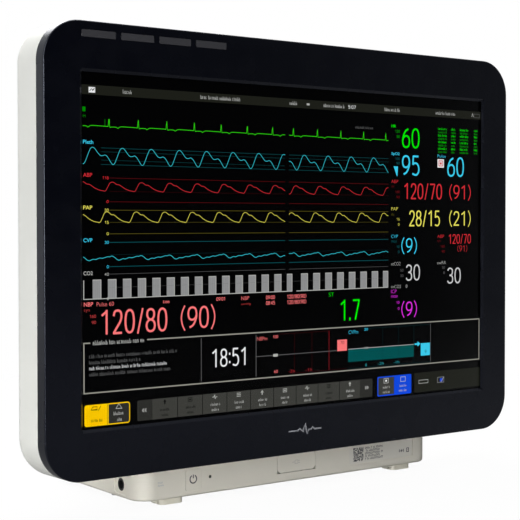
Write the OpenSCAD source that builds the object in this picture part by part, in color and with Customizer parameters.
// Widescreen bedside patient monitor, built as separate pieces.
// X runs left to right, Y from front to back and Z upwards; the origin is at the bottom centre.

/* [Overall] */
// Depth of the whole monitor, front to back
depth = 150; // [146:1:156]
// Wall thickness of the moulded covers
wall = 3; // [2.6:0.1:3.2]

/* [Display] */
// Width of the visible screen
screen_w = 408.2; // [400:0.2:409]
// Height of the visible screen
screen_h = 255.2; // [250:0.2:256]
// Height of the screen's centre above the table
screen_z = 193; // [192.6:0.1:193.4]
// Width of the front bezel
bezel_w = 471; // [469:0.5:473]
// Height of the front bezel
bezel_h = 328.5; // [328:0.5:330]
// Corner radius of the front bezel
bezel_r = 29.5; // [27:0.5:32]
// Depth of the front bezel
bezel_t = 10.7; // [10.5:0.1:10.8]

/* [Lower housing] */
// Width of the lower housing at its front
base_w = 301; // [298:1:304]
// Height of the feet
foot_h = 4.3; // [4:0.1:4.5]
// Height of the top of the lower housing behind the display
base_top = 95; // [93:0.5:96]

/* [Controls] */
// Width of the power button
button_w = 14.8; // [14:0.1:15]
// Travel of the power button
button_travel = 1; // [0.5:0.1:1]
// Width of the hinged port door
door_w = 39.5; // [39:0.1:40]

/* [Rear mounting] */
// Side of the square pattern of rear mounting inserts
mount_pitch = 100; // [90:1:104]
// Radius of the thread bore in each mounting insert
insert_bore_r = 1.65; // [1.5:0.05:1.8]

/* [Hidden] */

fine = 96;
gap = 0.1;
button_gap = 0.2;
front = -depth / 2;
bezel_z = screen_z - 0.45;
edge_r = 1.2;
edge_step = 22.5;

// Depths behind the front plane
lip_t = 1.7;
gasket_t = 0.5;
glass_d = lip_t + gasket_t;
glass_t = 1.1;
panel_d = 3.4;
panel_t = 10;
backlight_d = 13.5;
backlight_t = 4.5;
frame_d = 18.1;
shell_d = 11;
shell_flat_d = 34.5;
shell_round = 15;
shell_back_d = shell_flat_d + shell_round;
bay_start_d = 38;
bay_back_d = 112;
bay_bottom = base_top + 0.4;
bay_front = [300, 248];
bay_front_z = 184;
bay_front_r = 28;
bay_rear = [270, 226];
bay_rear_z = 173;
bay_rear_r = 24;
bay_round = 9;
vent_rows = [228, 244];
insert_r = 3;
insert_t = 10;
cover_screw_r = 1.5;
screw_head_r = 2.9;
screw_r = 1.4;

glass_w = 426;
glass_h = 273;

lens_w = 28.2;
lens_h = 5.2;
lens_pitch = 32.9;
lens_x = -190.7;
lens_z = screen_z + 154.75;

cover_screw_places = [[-190, 146], [190, 146], [0, 146], [-190, -146], [190, -146],
    [-223, 70], [223, 70], [-223, -70], [223, -70]];

base_front_d = 11;
base_top_front = 28.1;
base_rear_w = 290;
base_ceiling = 2.5;
base_step_d = shell_back_d + 0.2;

button_r = 2.4;
button_x = -101.6;
button_z = 16.6;
button_h = 16.6;
label_w = 72.2;
label_h = 14.8;
label_x = 93.4;
label_z = 18.4;
led_x = -86;
led_r = 1.25;
led_z = 17.3;

door_t = 1.6;
door_bottom = 12.15;
door_h = 15.05;
hinge_d = 12.9;
hinge_z = door_bottom + 1;
hinge_relief_r = 2.4;
door_corner_r = 4;
lug_x = 11.4;
pin_r = 0.6;

jack_d = 39.6;
jack_z = 14.3;
jack_recess = 0.8;

pocket_d = 135;
pocket_w = 250;
pocket_z0 = 13;
pocket_z1 = 79;
plate_t = 1.5;
plate_d = pocket_d - plate_t;

inlet_x = -92;
inlet_z = 46;
bail_z = inlet_z + 17;
bail_d = pocket_d + 3;
bail_r = 1;
bail_l = 30;

// Places an object measured back from the front plane.
module at(x, d, z) {
    translate([x, front + d, z]) children();
}

// Extrudes a front-view outline backwards from a depth.
module slab(d, t) {
    translate([0, front + d + t, 0]) rotate([90, 0, 0]) linear_extrude(t) children();
}

// Rounded rectangle centred on a point of the front view.
module rounded(w, h, r, x = 0, z = 0, n = fine) {
    translate([x, z]) union() {
        square([w - 2 * r, h], center = true);
        square([w, h - 2 * r], center = true);
        for (sx = [-1, 1], sz = [-1, 1])
            translate([sx * (w / 2 - r), sz * (h / 2 - r)]) circle(r, $fn = n);
    }
}

// Cylinder that runs along Y from a depth.
module bar_y(x, d, z, r, length, n = 48) {
    at(x, d, z) rotate([-90, 0, 0]) cylinder(r = r, h = length, $fn = n);
}

// Cylinder that runs along X, centred.
module bar_x(x, d, z, r, length, n = 48) {
    at(x, d, z) rotate([0, 90, 0]) cylinder(r = r, h = length, center = true, $fn = n);
}

// Box given by its left, front and bottom corner.
module box(x, d, z, size) {
    at(x, d, z) cube(size);
}

// Row of short upright slots through the back wall, leaving out those that would cut an insert's boss.
module slot_row(x0, z, count, pitch, d, t, h) {
    slot_w = 2.6;
    for (i = [0 : count - 1])
        if (abs(abs(x0 + i * pitch + slot_w / 2) - mount_pitch / 2) > 2 * insert_r + slot_w / 2 + 0.5)
            box(x0 + i * pitch, d, z, [slot_w, t, h]);
}

// ---- Display ----

module bezel_outline(inset) {
    rounded(bezel_w - 2 * inset, bezel_h - 2 * inset, bezel_r - inset, 0, bezel_z);
}

module bezel_body() {
    hull() {
        for (a = [0 : edge_step : 89])
            slab(edge_r * (1 - cos(a)), 0.01) bezel_outline(edge_r * (1 - sin(a)));
        slab(edge_r, bezel_t - edge_r) bezel_outline(0);
    }
}

module aperture() {
    hull() {
        slab(-0.2, 0.01) rounded(screen_w + 5, screen_h + 5, 1.4, 0, screen_z, 32);
        slab(lip_t + 0.1, 0.01) rounded(screen_w, screen_h, 0.4, 0, screen_z, 32);
    }
}

module front_bezel() color([0.04, 0.045, 0.07]) {
    difference() {
        bezel_body();
        aperture();
        slab(lip_t, 1.4) rounded(glass_w + 0.4, glass_h + 0.4, 3, 0, screen_z);
        difference() {
            slab(wall, bezel_t) bezel_outline(wall);
            for (p = cover_screw_places)
                bar_y(p[0], wall - 1, bezel_z + p[1], 4, bezel_t);
        }
        for (p = cover_screw_places)
            bar_y(p[0], wall + 1, bezel_z + p[1], cover_screw_r, bezel_t);
        for (i = [0 : 3])
            slab(-1, wall + 2) rounded(lens_w + 2 * gap, lens_h + 2 * gap, 0.7,
                lens_x + i * lens_pitch, lens_z, 32);
    }
}

// One alarm lamp window with its flange behind the bezel.
module alarm_lens(i) color([0.22, 0.22, 0.24]) {
    x = lens_x + i * lens_pitch;
    slab(0.05, wall) rounded(lens_w, lens_h, 0.6, x, lens_z, 32);
    slab(wall + 0.02, 1) rounded(lens_w + 2, lens_h + 2, 0.8, x, lens_z, 32);
}
module alarm_lens_1() { alarm_lens(0); }
module alarm_lens_2() { alarm_lens(1); }
module alarm_lens_3() { alarm_lens(2); }
module alarm_lens_4() { alarm_lens(3); }

lamp_mid = lens_x + 1.5 * lens_pitch;
lamp_span = 3 * lens_pitch + lens_w;

module alarm_light_guide() color([0.85, 0.88, 0.9, 0.6]) {
    slab(4.5, 0.5) rounded(lamp_span, 6, 0.8, lamp_mid, lens_z, 32);
    for (i = [0 : 3])
        slab(4.9, 1) rounded(lens_w - 4, 4, 0.8, lens_x + i * lens_pitch, lens_z, 32);
}

module lamp_board() color([0.05, 0.3, 0.15]) {
    slab(6.6, 1.2) rounded(lamp_span + 2, 8.6, 1, lamp_mid, lens_z, 32);
    for (i = [0 : 3], k = [-1 : 1])
        box(lens_x + i * lens_pitch + 8 * k - 1.5, 6.1, lens_z - 1.2, [3, 0.7, 2.4]);
}

module frame_outline(w, h, r, band, z) {
    difference() {
        rounded(w, h, r, 0, z);
        rounded(w - 2 * band, h - 2 * band, 1, 0, z);
    }
}

module display_gasket() color([0.06, 0.06, 0.07]) {
    slab(lip_t, gasket_t) frame_outline(glass_w - 1, glass_h - 1, 2, 5, screen_z);
}

module touch_glass() color([0.1, 0.12, 0.14, 0.35]) {
    slab(glass_d, glass_t) rounded(glass_w, glass_h, 2.8, 0, screen_z);
}

module lcd_panel() color([0.02, 0.02, 0.03]) {
    slab(panel_d, panel_t) rounded(420, 267, 2, 0, screen_z, 32);
}

module backlight_unit() color([0.75, 0.77, 0.79]) {
    slab(backlight_d, backlight_t) rounded(418, 265, 2, 0, screen_z, 32);
}

// Steel frame that clamps the display stack, with ears for the screws.
module display_frame() color([0.66, 0.68, 0.7]) {
    difference() {
        union() {
            slab(frame_d, 1.5) frame_outline(424, 271, 3, 22, screen_z);
            slab(frame_d, 1.5) rounded(400, 14, 2, 0, screen_z, 32);
        }
        for (sx = [-1, 1], sz = [-1, 1])
            bar_y(sx * 205, frame_d - 1, screen_z + sz * 128, 1.6, 4);
    }
}

module board(x, d, z, w, t, h, hole = 0) color([0.05, 0.32, 0.16]) {
    difference() {
        box(x, d, z, [w, t, h]);
        if (hole > 0)
            for (u = [5, w - 5], v = [5, h - 5])
                bar_y(x + u, d - 1, z + v, hole, t + 2, 24);
    }
}

module touch_controller_board() {
    board(110, 22, 76, 84, 1.6, 42);
    color([0.1, 0.1, 0.1]) box(140, 23.6, 90, [14, 1.6, 14]);
}

module led_driver_board() {
    board(-196, 22, 76, 84, 1.6, 42);
    color([0.1, 0.1, 0.1]) for (i = [0 : 2])
        box(-188 + 24 * i, 23.6, 88, [14, 7, 14]);
}

module bezel_seal() color([0.12, 0.12, 0.13]) {
    slab(bezel_t - 2.6, 2.2) frame_outline(bezel_w - 2 * wall - 0.2, bezel_h - 2 * wall - 0.2,
        bezel_r - wall, 0.8, bezel_z);
}

// ---- Rear cover ----

// Display half of the rear shell, grown or shrunk by an inset.
module display_shell(inset, start_d) {
    arc = shell_round - inset;
    hull() {
        slab(start_d, shell_flat_d - start_d) bezel_outline(inset);
        for (a = [10 : 10 : 90])
            slab(shell_flat_d + arc * sin(a) - 0.01, 0.01)
                bezel_outline(inset + arc * (1 - cos(a)));
    }
}

// Electronics bay on the back of the display, grown or shrunk by an inset.
module bay(inset) {
    back = bay_back_d - inset;
    arc = bay_round - inset;
    hull() {
        slab(bay_start_d, 0.01) rounded(bay_front[0] - 2 * inset, bay_front[1] - 2 * inset,
            bay_front_r - inset, 0, bay_front_z);
        for (a = [0 : 15 : 90])
            slab(back - arc + arc * sin(a) - 0.01, 0.01) bay_rear_outline(inset + arc * (1 - cos(a)),
                bay_rear_r - inset);
    }
}

module bay_rear_outline(inset, r) {
    rounded(bay_rear[0] - 2 * inset, bay_rear[1] - 2 * inset, r, 0, bay_rear_z);
}

// Opening in the floor of the electronics bay and the top of the lower housing.
module cable_opening() {
    box(-100, 55, base_top - 5, [200, 40, 12]);
}

// Puts an object at each screw that holds the lower housing to the rear cover.
module at_base_screws(z) {
    for (sx = [-1, 1])
        at(sx * 120, 75, z) children();
}

// Puts an object at each corner of the rear mounting pattern.
module at_inserts(d) {
    for (sx = [-1, 1], sz = [-1, 1])
        at(sx * mount_pitch / 2, d, screen_z + sz * mount_pitch / 2) rotate([-90, 0, 0]) children();
}

module above(z) {
    translate([-300, -300, z]) cube([600, 600, 500]);
}

module rear_cover() color([0.86, 0.86, 0.83]) {
    difference() {
        union() {
            display_shell(0, shell_d);
            intersection() {
                bay(0);
                above(bay_bottom);
            }
            slab(bezel_t - 1.6, 6) frame_outline(bezel_w - 2 * wall - 2, bezel_h - 2 * wall - 2,
                bezel_r - wall - 1, 3, bezel_z);
        }
        difference() {
            display_shell(wall, shell_d - 1);
            for (p = cover_screw_places)
                bar_y(p[0], shell_d + 0.2, bezel_z + p[1], 4.5, 40);
            slab(bezel_t - 2, 5) difference() {
                bezel_outline(wall - 1);
                rounded(bezel_w - 2 * wall - 8, bezel_h - 2 * wall - 8, bezel_r - 7, 0, bezel_z);
            }
        }
        intersection() {
            difference() {
                bay(wall);
                at_inserts(bay_back_d - 18) cylinder(r = 2 * insert_r, h = 20, $fn = 48);
            }
            above(bay_bottom + wall);
        }
        at_inserts(bay_back_d - 12) cylinder(r = insert_r + 0.02, h = 20, $fn = 48);
        for (p = cover_screw_places) {
            bar_y(p[0], shell_d - 4, bezel_z + p[1], 1.6, 60);
            bar_y(p[0], shell_back_d - 4, bezel_z + p[1], 3.2, 10);
        }
        for (z = vent_rows)
            slot_row(-92.3, z, 36, 5.2, bay_back_d - 12, 30, 11);
        cable_opening();
        at_base_screws(base_top - 5) cylinder(r = 1.6, h = 12, $fn = 32);
    }
}

module mount_inserts() color([0.8, 0.65, 0.3]) {
    at_inserts(bay_back_d - insert_t) difference() {
        cylinder(r = insert_r, h = insert_t, $fn = 48);
        translate([0, 0, -1]) cylinder(r = insert_bore_r, h = insert_t + 4, $fn = 48);
    }
}

// ---- Electronics bay ----

board_d = 60;
board_t = 1.6;
chassis_d = 50;
chassis_w = 250;
chassis_h = 160;
chassis_z = 112;
sheet_t = 1.2;
chassis_screws = [[-105, 125], [105, 125], [-105, 255], [105, 255]];

module main_chassis() color([0.7, 0.72, 0.74]) {
    difference() {
        union() {
            box(-chassis_w / 2, chassis_d, chassis_z, [chassis_w, sheet_t, chassis_h]);
            for (x = [-chassis_w / 2, chassis_w / 2 - sheet_t])
                box(x, chassis_d, chassis_z, [sheet_t, 8, chassis_h]);
            for (p = chassis_screws)
                bar_y(p[0], chassis_d + 1, p[1], 3, board_d - chassis_d - 1.02, 32);
        }
        for (p = chassis_screws)
            bar_y(p[0], chassis_d - 1, p[1], 1.5, 20, 24);
        box(-20, chassis_d - 1, 130, [40, 4, 20]);
    }
}

module main_board() {
    difference() {
        board(-110, board_d, 120, 220, board_t, 140);
        for (p = chassis_screws)
            bar_y(p[0], board_d - 1, p[1], 1.5, 4, 24);
    }
    color([0.1, 0.1, 0.1]) {
        box(-20, board_d + 1.55, 190, [30, 1.6, 30]);
        for (i = [0 : 3])
            box(30 + 14 * i, board_d + 1.55, 190, [10, 1.2, 22]);
    }
}

module heatsink() color([0.7, 0.71, 0.73]) {
    box(-35, board_d + 3.2, 175, [60, 4, 60]);
    for (i = [0 : 9])
        box(-35 + 6.4 * i, board_d + 7, 175, [2, 15, 60]);
}

module coin_cell() color([0.8, 0.81, 0.82]) {
    bar_y(85, board_d + 1.65, 150, 10, 3.2);
}

module display_cable() color([0.75, 0.72, 0.65]) {
    box(-14, 19.8, 135, [28, 0.6, 40]);
    box(-14, 20.2, 135, [28, 39.6, 0.6]);
}

// ---- Lower housing ----

// Plan outline of the lower housing, drawn as X against depth.
module base_plan(inset) {
    hull() {
        for (sx = [-1, 1]) {
            translate([sx * (base_w / 2 - 15), front + base_front_d + 15])
                circle(15 - inset, $fn = fine);
            translate([sx * (base_rear_w / 2 - 12), front + depth - 12])
                circle(12 - inset, $fn = fine);
        }
    }
}

module base_layer(z, t, inset) {
    translate([0, 0, z]) linear_extrude(t) base_plan(inset);
}

base_low_r = 2.2;
base_high_r = 4;

module base_outer() {
    hull() {
        for (a = [0 : edge_step : 89])
            base_layer(foot_h + base_low_r * (1 - cos(a)), 0.01, base_low_r * (1 - sin(a)));
        base_layer(foot_h + base_low_r, base_top - foot_h - base_low_r - base_high_r, 0);
        for (a = [0 : edge_step : 89])
            base_layer(base_top - base_high_r * (1 - cos(a)) - 0.01, 0.01, base_high_r * (1 - sin(a)));
    }
}

// Arm that holds one end of the door's hinge pin, reaching round from behind the door.
lug_t = 2.4;
lug_foot_z = foot_h + base_low_r;

module lug(sx) {
    x = sx * lug_x - lug_t / 2;
    bar_x(sx * lug_x, hinge_d, hinge_z, 1, lug_t, 32);
    box(x, hinge_d, hinge_z - 1, [lug_t, 6, 2]);
    box(x, hinge_d + 2.6, lug_foot_z, [lug_t, 3.4, hinge_z + 1 - lug_foot_z]);
    box(x, base_front_d + wall - 0.5, lug_foot_z, [lug_t, 4, 3]);
}

// Half width of the tapered lower housing at a depth.
function base_half(d) = base_w / 2 - (base_w - base_rear_w) / 2 * (d - 26) / (depth - 38);

taper = atan((base_w - base_rear_w) / 2 / (depth - 38));
post_depths = [60, 122];

// Puts an object on both sides at each bottom screw.
module at_posts(z) {
    for (sx = [-1, 1], d = post_depths)
        at(sx * (base_half(d) - wall - 4.5), d, z) children();
}

// Points an object's +Z inwards through the tapered left wall.
module on_left_wall(d, z) {
    at(-base_half(d), d, z) rotate([0, 0, -taper]) rotate([0, 90, 0]) children();
}

module base_cavity() {
    difference() {
        base_layer(foot_h - 1, base_top - wall - foot_h + 1, wall);
        box(-200, -10, base_top_front - base_ceiling, [400, base_step_d + wall + 10, 200]);
    }
}

module base_housing() color([0.88, 0.87, 0.83]) {
    difference() {
        union() {
            difference() {
                base_outer();
                box(-200, -10, base_top_front, [400, base_step_d + 10, 200]);
                base_cavity();
            }
            slab(plate_d - 0.2, depth - plate_d - 1)
                rounded(pocket_w + 4, pocket_z1 - pocket_z0 + 4, 5, 0, (pocket_z0 + pocket_z1) / 2);
            at_posts(foot_h + 2.2) cylinder(r = 5, h = 12, $fn = 32);
            for (sx = [-1, 1])
                lug(sx);
        }
        slab(plate_d - 1, 40) rounded(pocket_w, pocket_z1 - pocket_z0, 3, 0,
            (pocket_z0 + pocket_z1) / 2);
        slab(base_front_d - 1, 6) rounded(button_w + 2 * button_gap, button_h + 2 * button_gap,
            button_r + button_gap, button_x, button_z);
        bar_y(led_x, base_front_d - 1, led_z, led_r + 0.05, 6);
        slab(base_front_d - 1, 1.5) rounded(label_w + 0.6, label_h + 0.6, 1.5, label_x, label_z);
        slab(base_front_d - 1, 5) rounded(door_w + 0.5, door_h + 0.7, door_corner_r + 0.2, 0,
            door_bottom + door_h / 2 - 0.1);
        difference() {
            bar_x(0, hinge_d, hinge_z, hinge_relief_r, door_w + 0.5);
            for (sx = [-1, 1])
                lug(sx);
        }
        bar_x(0, hinge_d, hinge_z, pin_r + 0.02, 40, 32);
        on_left_wall(jack_d, jack_z) cylinder(r = 5.1, h = 12, center = true, $fn = 48);
        on_left_wall(jack_d, jack_z + 0.9) translate([0, 0, -1.5]) linear_extrude(1.5 + jack_recess)
            rounded(16, 18.6, 3, 0, 0, 32);
        at_posts(foot_h) cylinder(r = 1.5, h = 13, $fn = 32);
        at_base_screws(base_top - 5) cylinder(r = 1.6, h = 12, $fn = 32);
        cable_opening();
        for (i = [0 : 11])
            box(base_rear_w / 2 - 10, 66 + 5 * i, 36, [20, 2.2, 30]);
    }
}

module foot(x, d) color([0.85, 0.84, 0.78]) {
    hull() {
        at(x, d + 6, 0) rounded_block(20.4, 16.3, 4);
        at(x, d + 6, 0.6) rounded_block(21.4, 17.2, 4.6);
        at(x, d + 6, foot_h - 0.02) rounded_block(21.8, 17.5, 5);
    }
}

module rounded_block(w, l, r) {
    linear_extrude(0.01) union() {
        translate([-w / 2 + r, -6]) square([w - 2 * r, l]);
        translate([-w / 2, -6 + r]) square([w, l - 2 * r]);
        for (sx = [-1, 1], v = [r - 6, l - 6 - r])
            translate([sx * (w / 2 - r), v]) circle(r, $fn = 32);
    }
}

foot_x = 119.3;
module foot_front_left() { foot(-foot_x, 13.4); }
module foot_front_right() { foot(foot_x, 13.4); }
module foot_rear_left() { foot(-foot_x, 128); }
module foot_rear_right() { foot(foot_x, 128); }

module bottom_plate() color([0.8, 0.8, 0.77]) {
    difference() {
        translate([0, 0, foot_h]) linear_extrude(2) base_plan(wall + 0.3);
        at_posts(foot_h - 1) cylinder(r = 1.6, h = 6, $fn = 32);
        for (sx = [-1, 1], sy = [-1, 1])
            at(sx * 50, 80 + sy * 40, foot_h - 1) cylinder(r = 2.25, h = 6, $fn = 32);
        for (i = [0 : 13])
            box(-33 + 5 * i, 62, foot_h - 1, [2.4, 36, 6]);
    }
}

// ---- Controls ----

button_flange_d = 14.3;
button_flange_t = 1;
stem_r = 2.5;
switch_board_d = 24;

module power_button() color([0.87, 0.86, 0.82]) {
    slab(base_front_d - 0.2, 4) rounded(button_w, button_h, button_r, button_x, button_z);
    slab(button_flange_d, button_flange_t) rounded(button_w + 3.2, button_h - 0.8, 2, button_x, button_z);
    bar_y(button_x, 15, button_z, stem_r, 3.9);
}

// Coil spring as a tube swept round the button's stem.
spring_start_d = button_flange_d + button_flange_t + 0.15;
spring_r = 5;
wire_r = 0.35;
spring_turns = 5;
spring_steps = 16;
wire_sides = 8;
spring_count = spring_turns * spring_steps;
spring_pitch = (switch_board_d - 0.2 - spring_start_d - 2 * wire_r) / spring_turns;

module button_spring() color([0.75, 0.76, 0.78]) {
    points = [for (i = [0 : spring_count], k = [0 : wire_sides - 1])
        let (a = 360 * i / spring_steps, b = 360 * k / wire_sides,
            r = spring_r + wire_r * cos(b))
        [r * cos(a), spring_start_d + wire_r + spring_pitch * i / spring_steps + wire_r * sin(b),
            r * sin(a)]];
    sides = [for (i = [0 : spring_count - 1], k = [0 : wire_sides - 1])
        let (n = (k + 1) % wire_sides, p = i * wire_sides, q = p + wire_sides)
        [p + k, p + n, q + n, q + k]];
    first = [for (k = [wire_sides - 1 : -1 : 0]) k];
    last = [for (k = [0 : wire_sides - 1]) spring_count * wire_sides + k];
    at(button_x, 0, button_z) polyhedron(points, concat(sides, [first, last]));
}

module switch_board() {
    board(button_x - 14, switch_board_d, foot_h + 4, 40, board_t, 16.5);
}

module power_switch() color([0.12, 0.12, 0.13]) {
    box(button_x - 3, 20.6, button_z - 3, [6, 3.35, 6]);
    bar_y(button_x, 20.05, button_z, 1.6, 0.7, 32);
}

module power_led() color([0.2, 0.35, 0.2]) {
    bar_y(led_x, base_front_d - 0.1, led_z, led_r, 6);
    bar_y(led_x, 16.8, led_z, 2.4, 7.1);
}

// ---- Front ports ----

module port_door() color([0.88, 0.87, 0.83]) {
    difference() {
        union() {
            slab(base_front_d, door_t) rounded(door_w, door_h, door_corner_r, 0,
                door_bottom + door_h / 2);
            for (sx = [-1, 1])
                bar_x(sx * 8, hinge_d, hinge_z, 1.15, 4, 32);
        }
        bar_x(0, hinge_d, hinge_z, pin_r + 0.05, 21, 32);
        for (sx = [-1, 1])
            box(sx * lug_x - 1.4, hinge_d - 1.12, door_bottom - 0.1, [2.8, 2, 2.5]);
    }
}

module door_hinge_pin() color([0.75, 0.76, 0.78]) {
    bar_x(0, hinge_d, hinge_z, pin_r, 25, 32);
}

module usb_socket(x) {
    color([0.75, 0.76, 0.78]) difference() {
        box(x - 7, 16.2, 17.2, [14, 15, 6.5]);
        box(x - 6.6, 16.1, 17.6, [13.2, 12, 5.7]);
    }
    color([0.1, 0.1, 0.35]) box(x - 5.8, 17, 19.2, [11.6, 12, 2]);
}
module usb_socket_left() { usb_socket(-9.5); }
module usb_socket_right() { usb_socket(9.5); }

module front_io_board() {
    color([0.05, 0.32, 0.16]) box(-23, 19.4, 15.5, [46, 24, board_t]);
    color([0.1, 0.1, 0.1]) box(-4, 34, 17.05, [8, 8, 1.4]);
}

module side_jack() color([0.03, 0.03, 0.03]) {
    on_left_wall(jack_d, jack_z) translate([0, 0, jack_recess + 0.1]) difference() {
        cylinder(r = 4.9, h = 18, $fn = 48);
        translate([0, 0, -1]) cylinder(r = 3.2, h = 15, $fn = 48);
    }
}

module rating_label() color([0.9, 0.9, 0.87]) {
    slab(base_front_d + 0.3, 0.18) rounded(label_w, label_h, 1.2, label_x, label_z);
}

// ---- Rear connectors ----

module connector_plate() color([0.72, 0.74, 0.76]) {
    difference() {
        slab(plate_d - 1.75, plate_t) rounded(pocket_w + 3, pocket_z1 - pocket_z0 + 3, 3, 0,
            (pocket_z0 + pocket_z1) / 2);
        socket_holes();
    }
    retainer_ears();
}

// Each socket's centre, width, height and corner radius.
inlet = [inlet_x, inlet_z, 28, 21, 3];
network = [8.5, 61, 33, 14, 0.8];
video = [8.5, 33, 40, 12, 1.8];
serial = [60, 61, 33, 14, 0.8];
measurement = [60, 33, 30, 20, 2.8];
stud_x = 104;
stud_z = 33;
socket_d = plate_d - 8;

// Openings in the connector plate, each a little larger than its socket.
module socket_holes() {
    for (s = [inlet, network, video, serial, measurement])
        slab(plate_d - 4, 10) rounded(s[2] + 0.3, s[3] + 0.3, s[4] + 0.15, s[0], s[1]);
    bar_y(stud_x, plate_d - 4, stud_z, 4.1, 10);
}

module socket_block(s) {
    slab(socket_d, pocket_d + 3 - socket_d) rounded(s[2], s[3], s[4], s[0], s[1]);
}

// Socket body with two plug openings side by side.
module twin_socket(s) {
    difference() {
        socket_block(s);
        for (sx = [-1, 1])
            box(s[0] + sx * 8.2 - 6, pocket_d - 8, s[1] - 5, [12, 20, 8]);
    }
}

module mains_inlet() color([0.06, 0.06, 0.06]) {
    difference() {
        union() {
            socket_block(inlet);
            slab(plate_d - 0.2, 2.6) rounded(46, 24, 3, inlet_x, inlet_z);
        }
        slab(pocket_d - 6, 20) rounded(24.2, 16.6, 3, inlet_x, inlet_z);
        for (sx = [-1, 1])
            bar_y(inlet_x + sx * 19, plate_d - 2, inlet_z, 1.6, 8, 32);
    }
    for (i = [-1 : 1])
        box(inlet_x + 7 * i - 1, pocket_d - 7, inlet_z - 2 + 2 * abs(i) - 1, [2, 8, 4]);
}

// Wire bail that swings down over a plugged-in mains connector.
module inlet_retainer() color([0.8, 0.81, 0.82]) {
    for (sx = [-1, 1]) {
        bar_x(inlet_x + sx * 26, bail_d, bail_z, bail_r, 6, 24);
        at(inlet_x + sx * 28, bail_d, bail_z - bail_l) cylinder(r = bail_r, h = bail_l, $fn = 24);
    }
    bar_x(inlet_x, bail_d, bail_z - bail_l, bail_r, 58, 24);
}

module retainer_ears() {
    for (sx = [-1, 1])
        difference() {
            box(inlet_x + sx * 24.5 - 0.75, plate_d - 0.25, bail_z - 3, [1.5, 8, 6]);
            bar_x(inlet_x + sx * 24.5, bail_d, bail_z, bail_r + 0.05, 4, 24);
        }
}

module network_socket() color([0.72, 0.74, 0.76]) {
    twin_socket(network);
}

module video_socket() color([0.9, 0.9, 0.9]) {
    difference() {
        socket_block(video);
        slab(pocket_d - 4, 20) rounded(28, 8, 1.5, video[0], video[1]);
    }
}

module serial_sockets() color([0.1, 0.1, 0.11]) {
    twin_socket(serial);
}

module measurement_socket() color([0.35, 0.4, 0.5]) {
    difference() {
        socket_block(measurement);
        slab(pocket_d - 5, 20) rounded(24, 13, 2, measurement[0], measurement[1]);
    }
    for (i = [-2 : 2])
        bar_y(measurement[0] + 4 * i, pocket_d - 5.5, measurement[1], 0.7, 5, 24);
}

module equipotential_stud() color([0.8, 0.68, 0.35]) {
    bar_y(stud_x, plate_d - 10, stud_z, 4, 12);
    bar_y(stud_x, plate_d + 1.9, stud_z, 3, 11.5);
}

// ---- Power supply and input board ----

supply_z = 14;
harness_x = -60;
harness_z = 120;

module power_supply() {
    top = supply_z + board_t - 0.05;
    color([0.05, 0.32, 0.16]) box(-128, 58, supply_z, [114, 64, board_t]);
    color([0.85, 0.75, 0.3]) box(-110, 66, top, [30, 26, 24]);
    color([0.15, 0.15, 0.2]) for (i = [0 : 2])
        at(-66 + 16 * i, 80, top) cylinder(r = 6, h = 25, $fn = 32);
    color([0.1, 0.1, 0.1]) box(-70, 100, top, [46, 12, 16]);
}

module supply_shield() color([0.74, 0.76, 0.78]) {
    difference() {
        box(-130, 56, supply_z - 3, [118, 68, 36]);
        box(-129, 57, supply_z - 4, [116, 66, 36]);
        for (i = [0 : 14])
            box(-126 + 7.4 * i, 62, supply_z + 30, [4, 50, 6]);
    }
}

module supply_harness() color([0.1, 0.1, 0.1]) {
    at(harness_x, 75, supply_z + 33.2) cylinder(r = 3, h = harness_z - supply_z - 30, $fn = 32);
    bar_y(harness_x, 61.8, harness_z, 3, 13.2, 32);
    at(harness_x, 75, harness_z) sphere(r = 3.4, $fn = 32);
}

module io_board() {
    color([0.05, 0.32, 0.16]) box(-8, 62, 15, [130, 60, 1.6]);
    color([0.1, 0.1, 0.1]) {
        box(20, 80, 16.55, [22, 22, 2]);
        box(70, 82, 16.55, [14, 20, 2]);
    }
}

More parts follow.
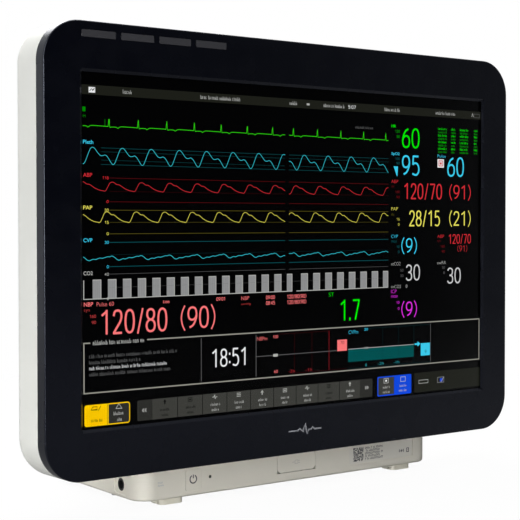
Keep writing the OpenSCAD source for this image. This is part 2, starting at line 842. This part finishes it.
module speaker() color([0.1, 0.1, 0.1]) {
    at(121, 94, 51) rotate([0, 90, 0]) {
        cylinder(r = 22, h = 3, $fn = fine);
        translate([0, 0, -6]) cylinder(r = 15, h = 6.1, $fn = fine);
        translate([0, 0, -14]) cylinder(r = 18, h = 8.1, $fn = fine);
    }
}

// ---- Fasteners ----

module cover_screws() color([0.7, 0.71, 0.73]) {
    for (p = cover_screw_places) {
        bar_y(p[0], 7, bezel_z + p[1], screw_r, shell_back_d - 4 - 7, 24);
        bar_y(p[0], shell_back_d - 4, bezel_z + p[1], screw_head_r, 2.4, 32);
    }
}

module base_screws() color([0.7, 0.71, 0.73]) {
    at_base_screws(base_top - wall - 2.4) cylinder(r = screw_head_r, h = 2.4, $fn = 32);
    at_base_screws(base_top - wall - 0.1) cylinder(r = screw_r, h = 8, $fn = 24);
}

module plate_screws() color([0.7, 0.71, 0.73]) {
    at_posts(foot_h - 2) cylinder(r = screw_head_r, h = 2, $fn = 32);
    at_posts(foot_h - 0.1) cylinder(r = screw_r, h = 11, $fn = 24);
}

module board_screws() color([0.7, 0.71, 0.73]) {
    for (p = chassis_screws) {
        bar_y(p[0], board_d + 1.65, p[1], screw_head_r, 2, 32);
        bar_y(p[0], board_d - 6, p[1], screw_r, 7.7, 24);
    }
}

front_bezel();
alarm_lens_1();
alarm_lens_2();
alarm_lens_3();
alarm_lens_4();
alarm_light_guide();
lamp_board();
display_gasket();
touch_glass();
lcd_panel();
backlight_unit();
display_frame();
touch_controller_board();
led_driver_board();
bezel_seal();
rear_cover();
main_chassis();
main_board();
heatsink();
coin_cell();
display_cable();
mount_inserts();
base_housing();
bottom_plate();
foot_front_left();
foot_front_right();
foot_rear_left();
foot_rear_right();
power_button();
button_spring();
power_switch();
power_led();
switch_board();
port_door();
door_hinge_pin();
usb_socket_left();
usb_socket_right();
front_io_board();
side_jack();
rating_label();
connector_plate();
mains_inlet();
inlet_retainer();
power_supply();
supply_shield();
supply_harness();
io_board();
network_socket();
video_socket();
serial_sockets();
measurement_socket();
equipotential_stud();
speaker();
cover_screws();
base_screws();
plate_screws();
board_screws();
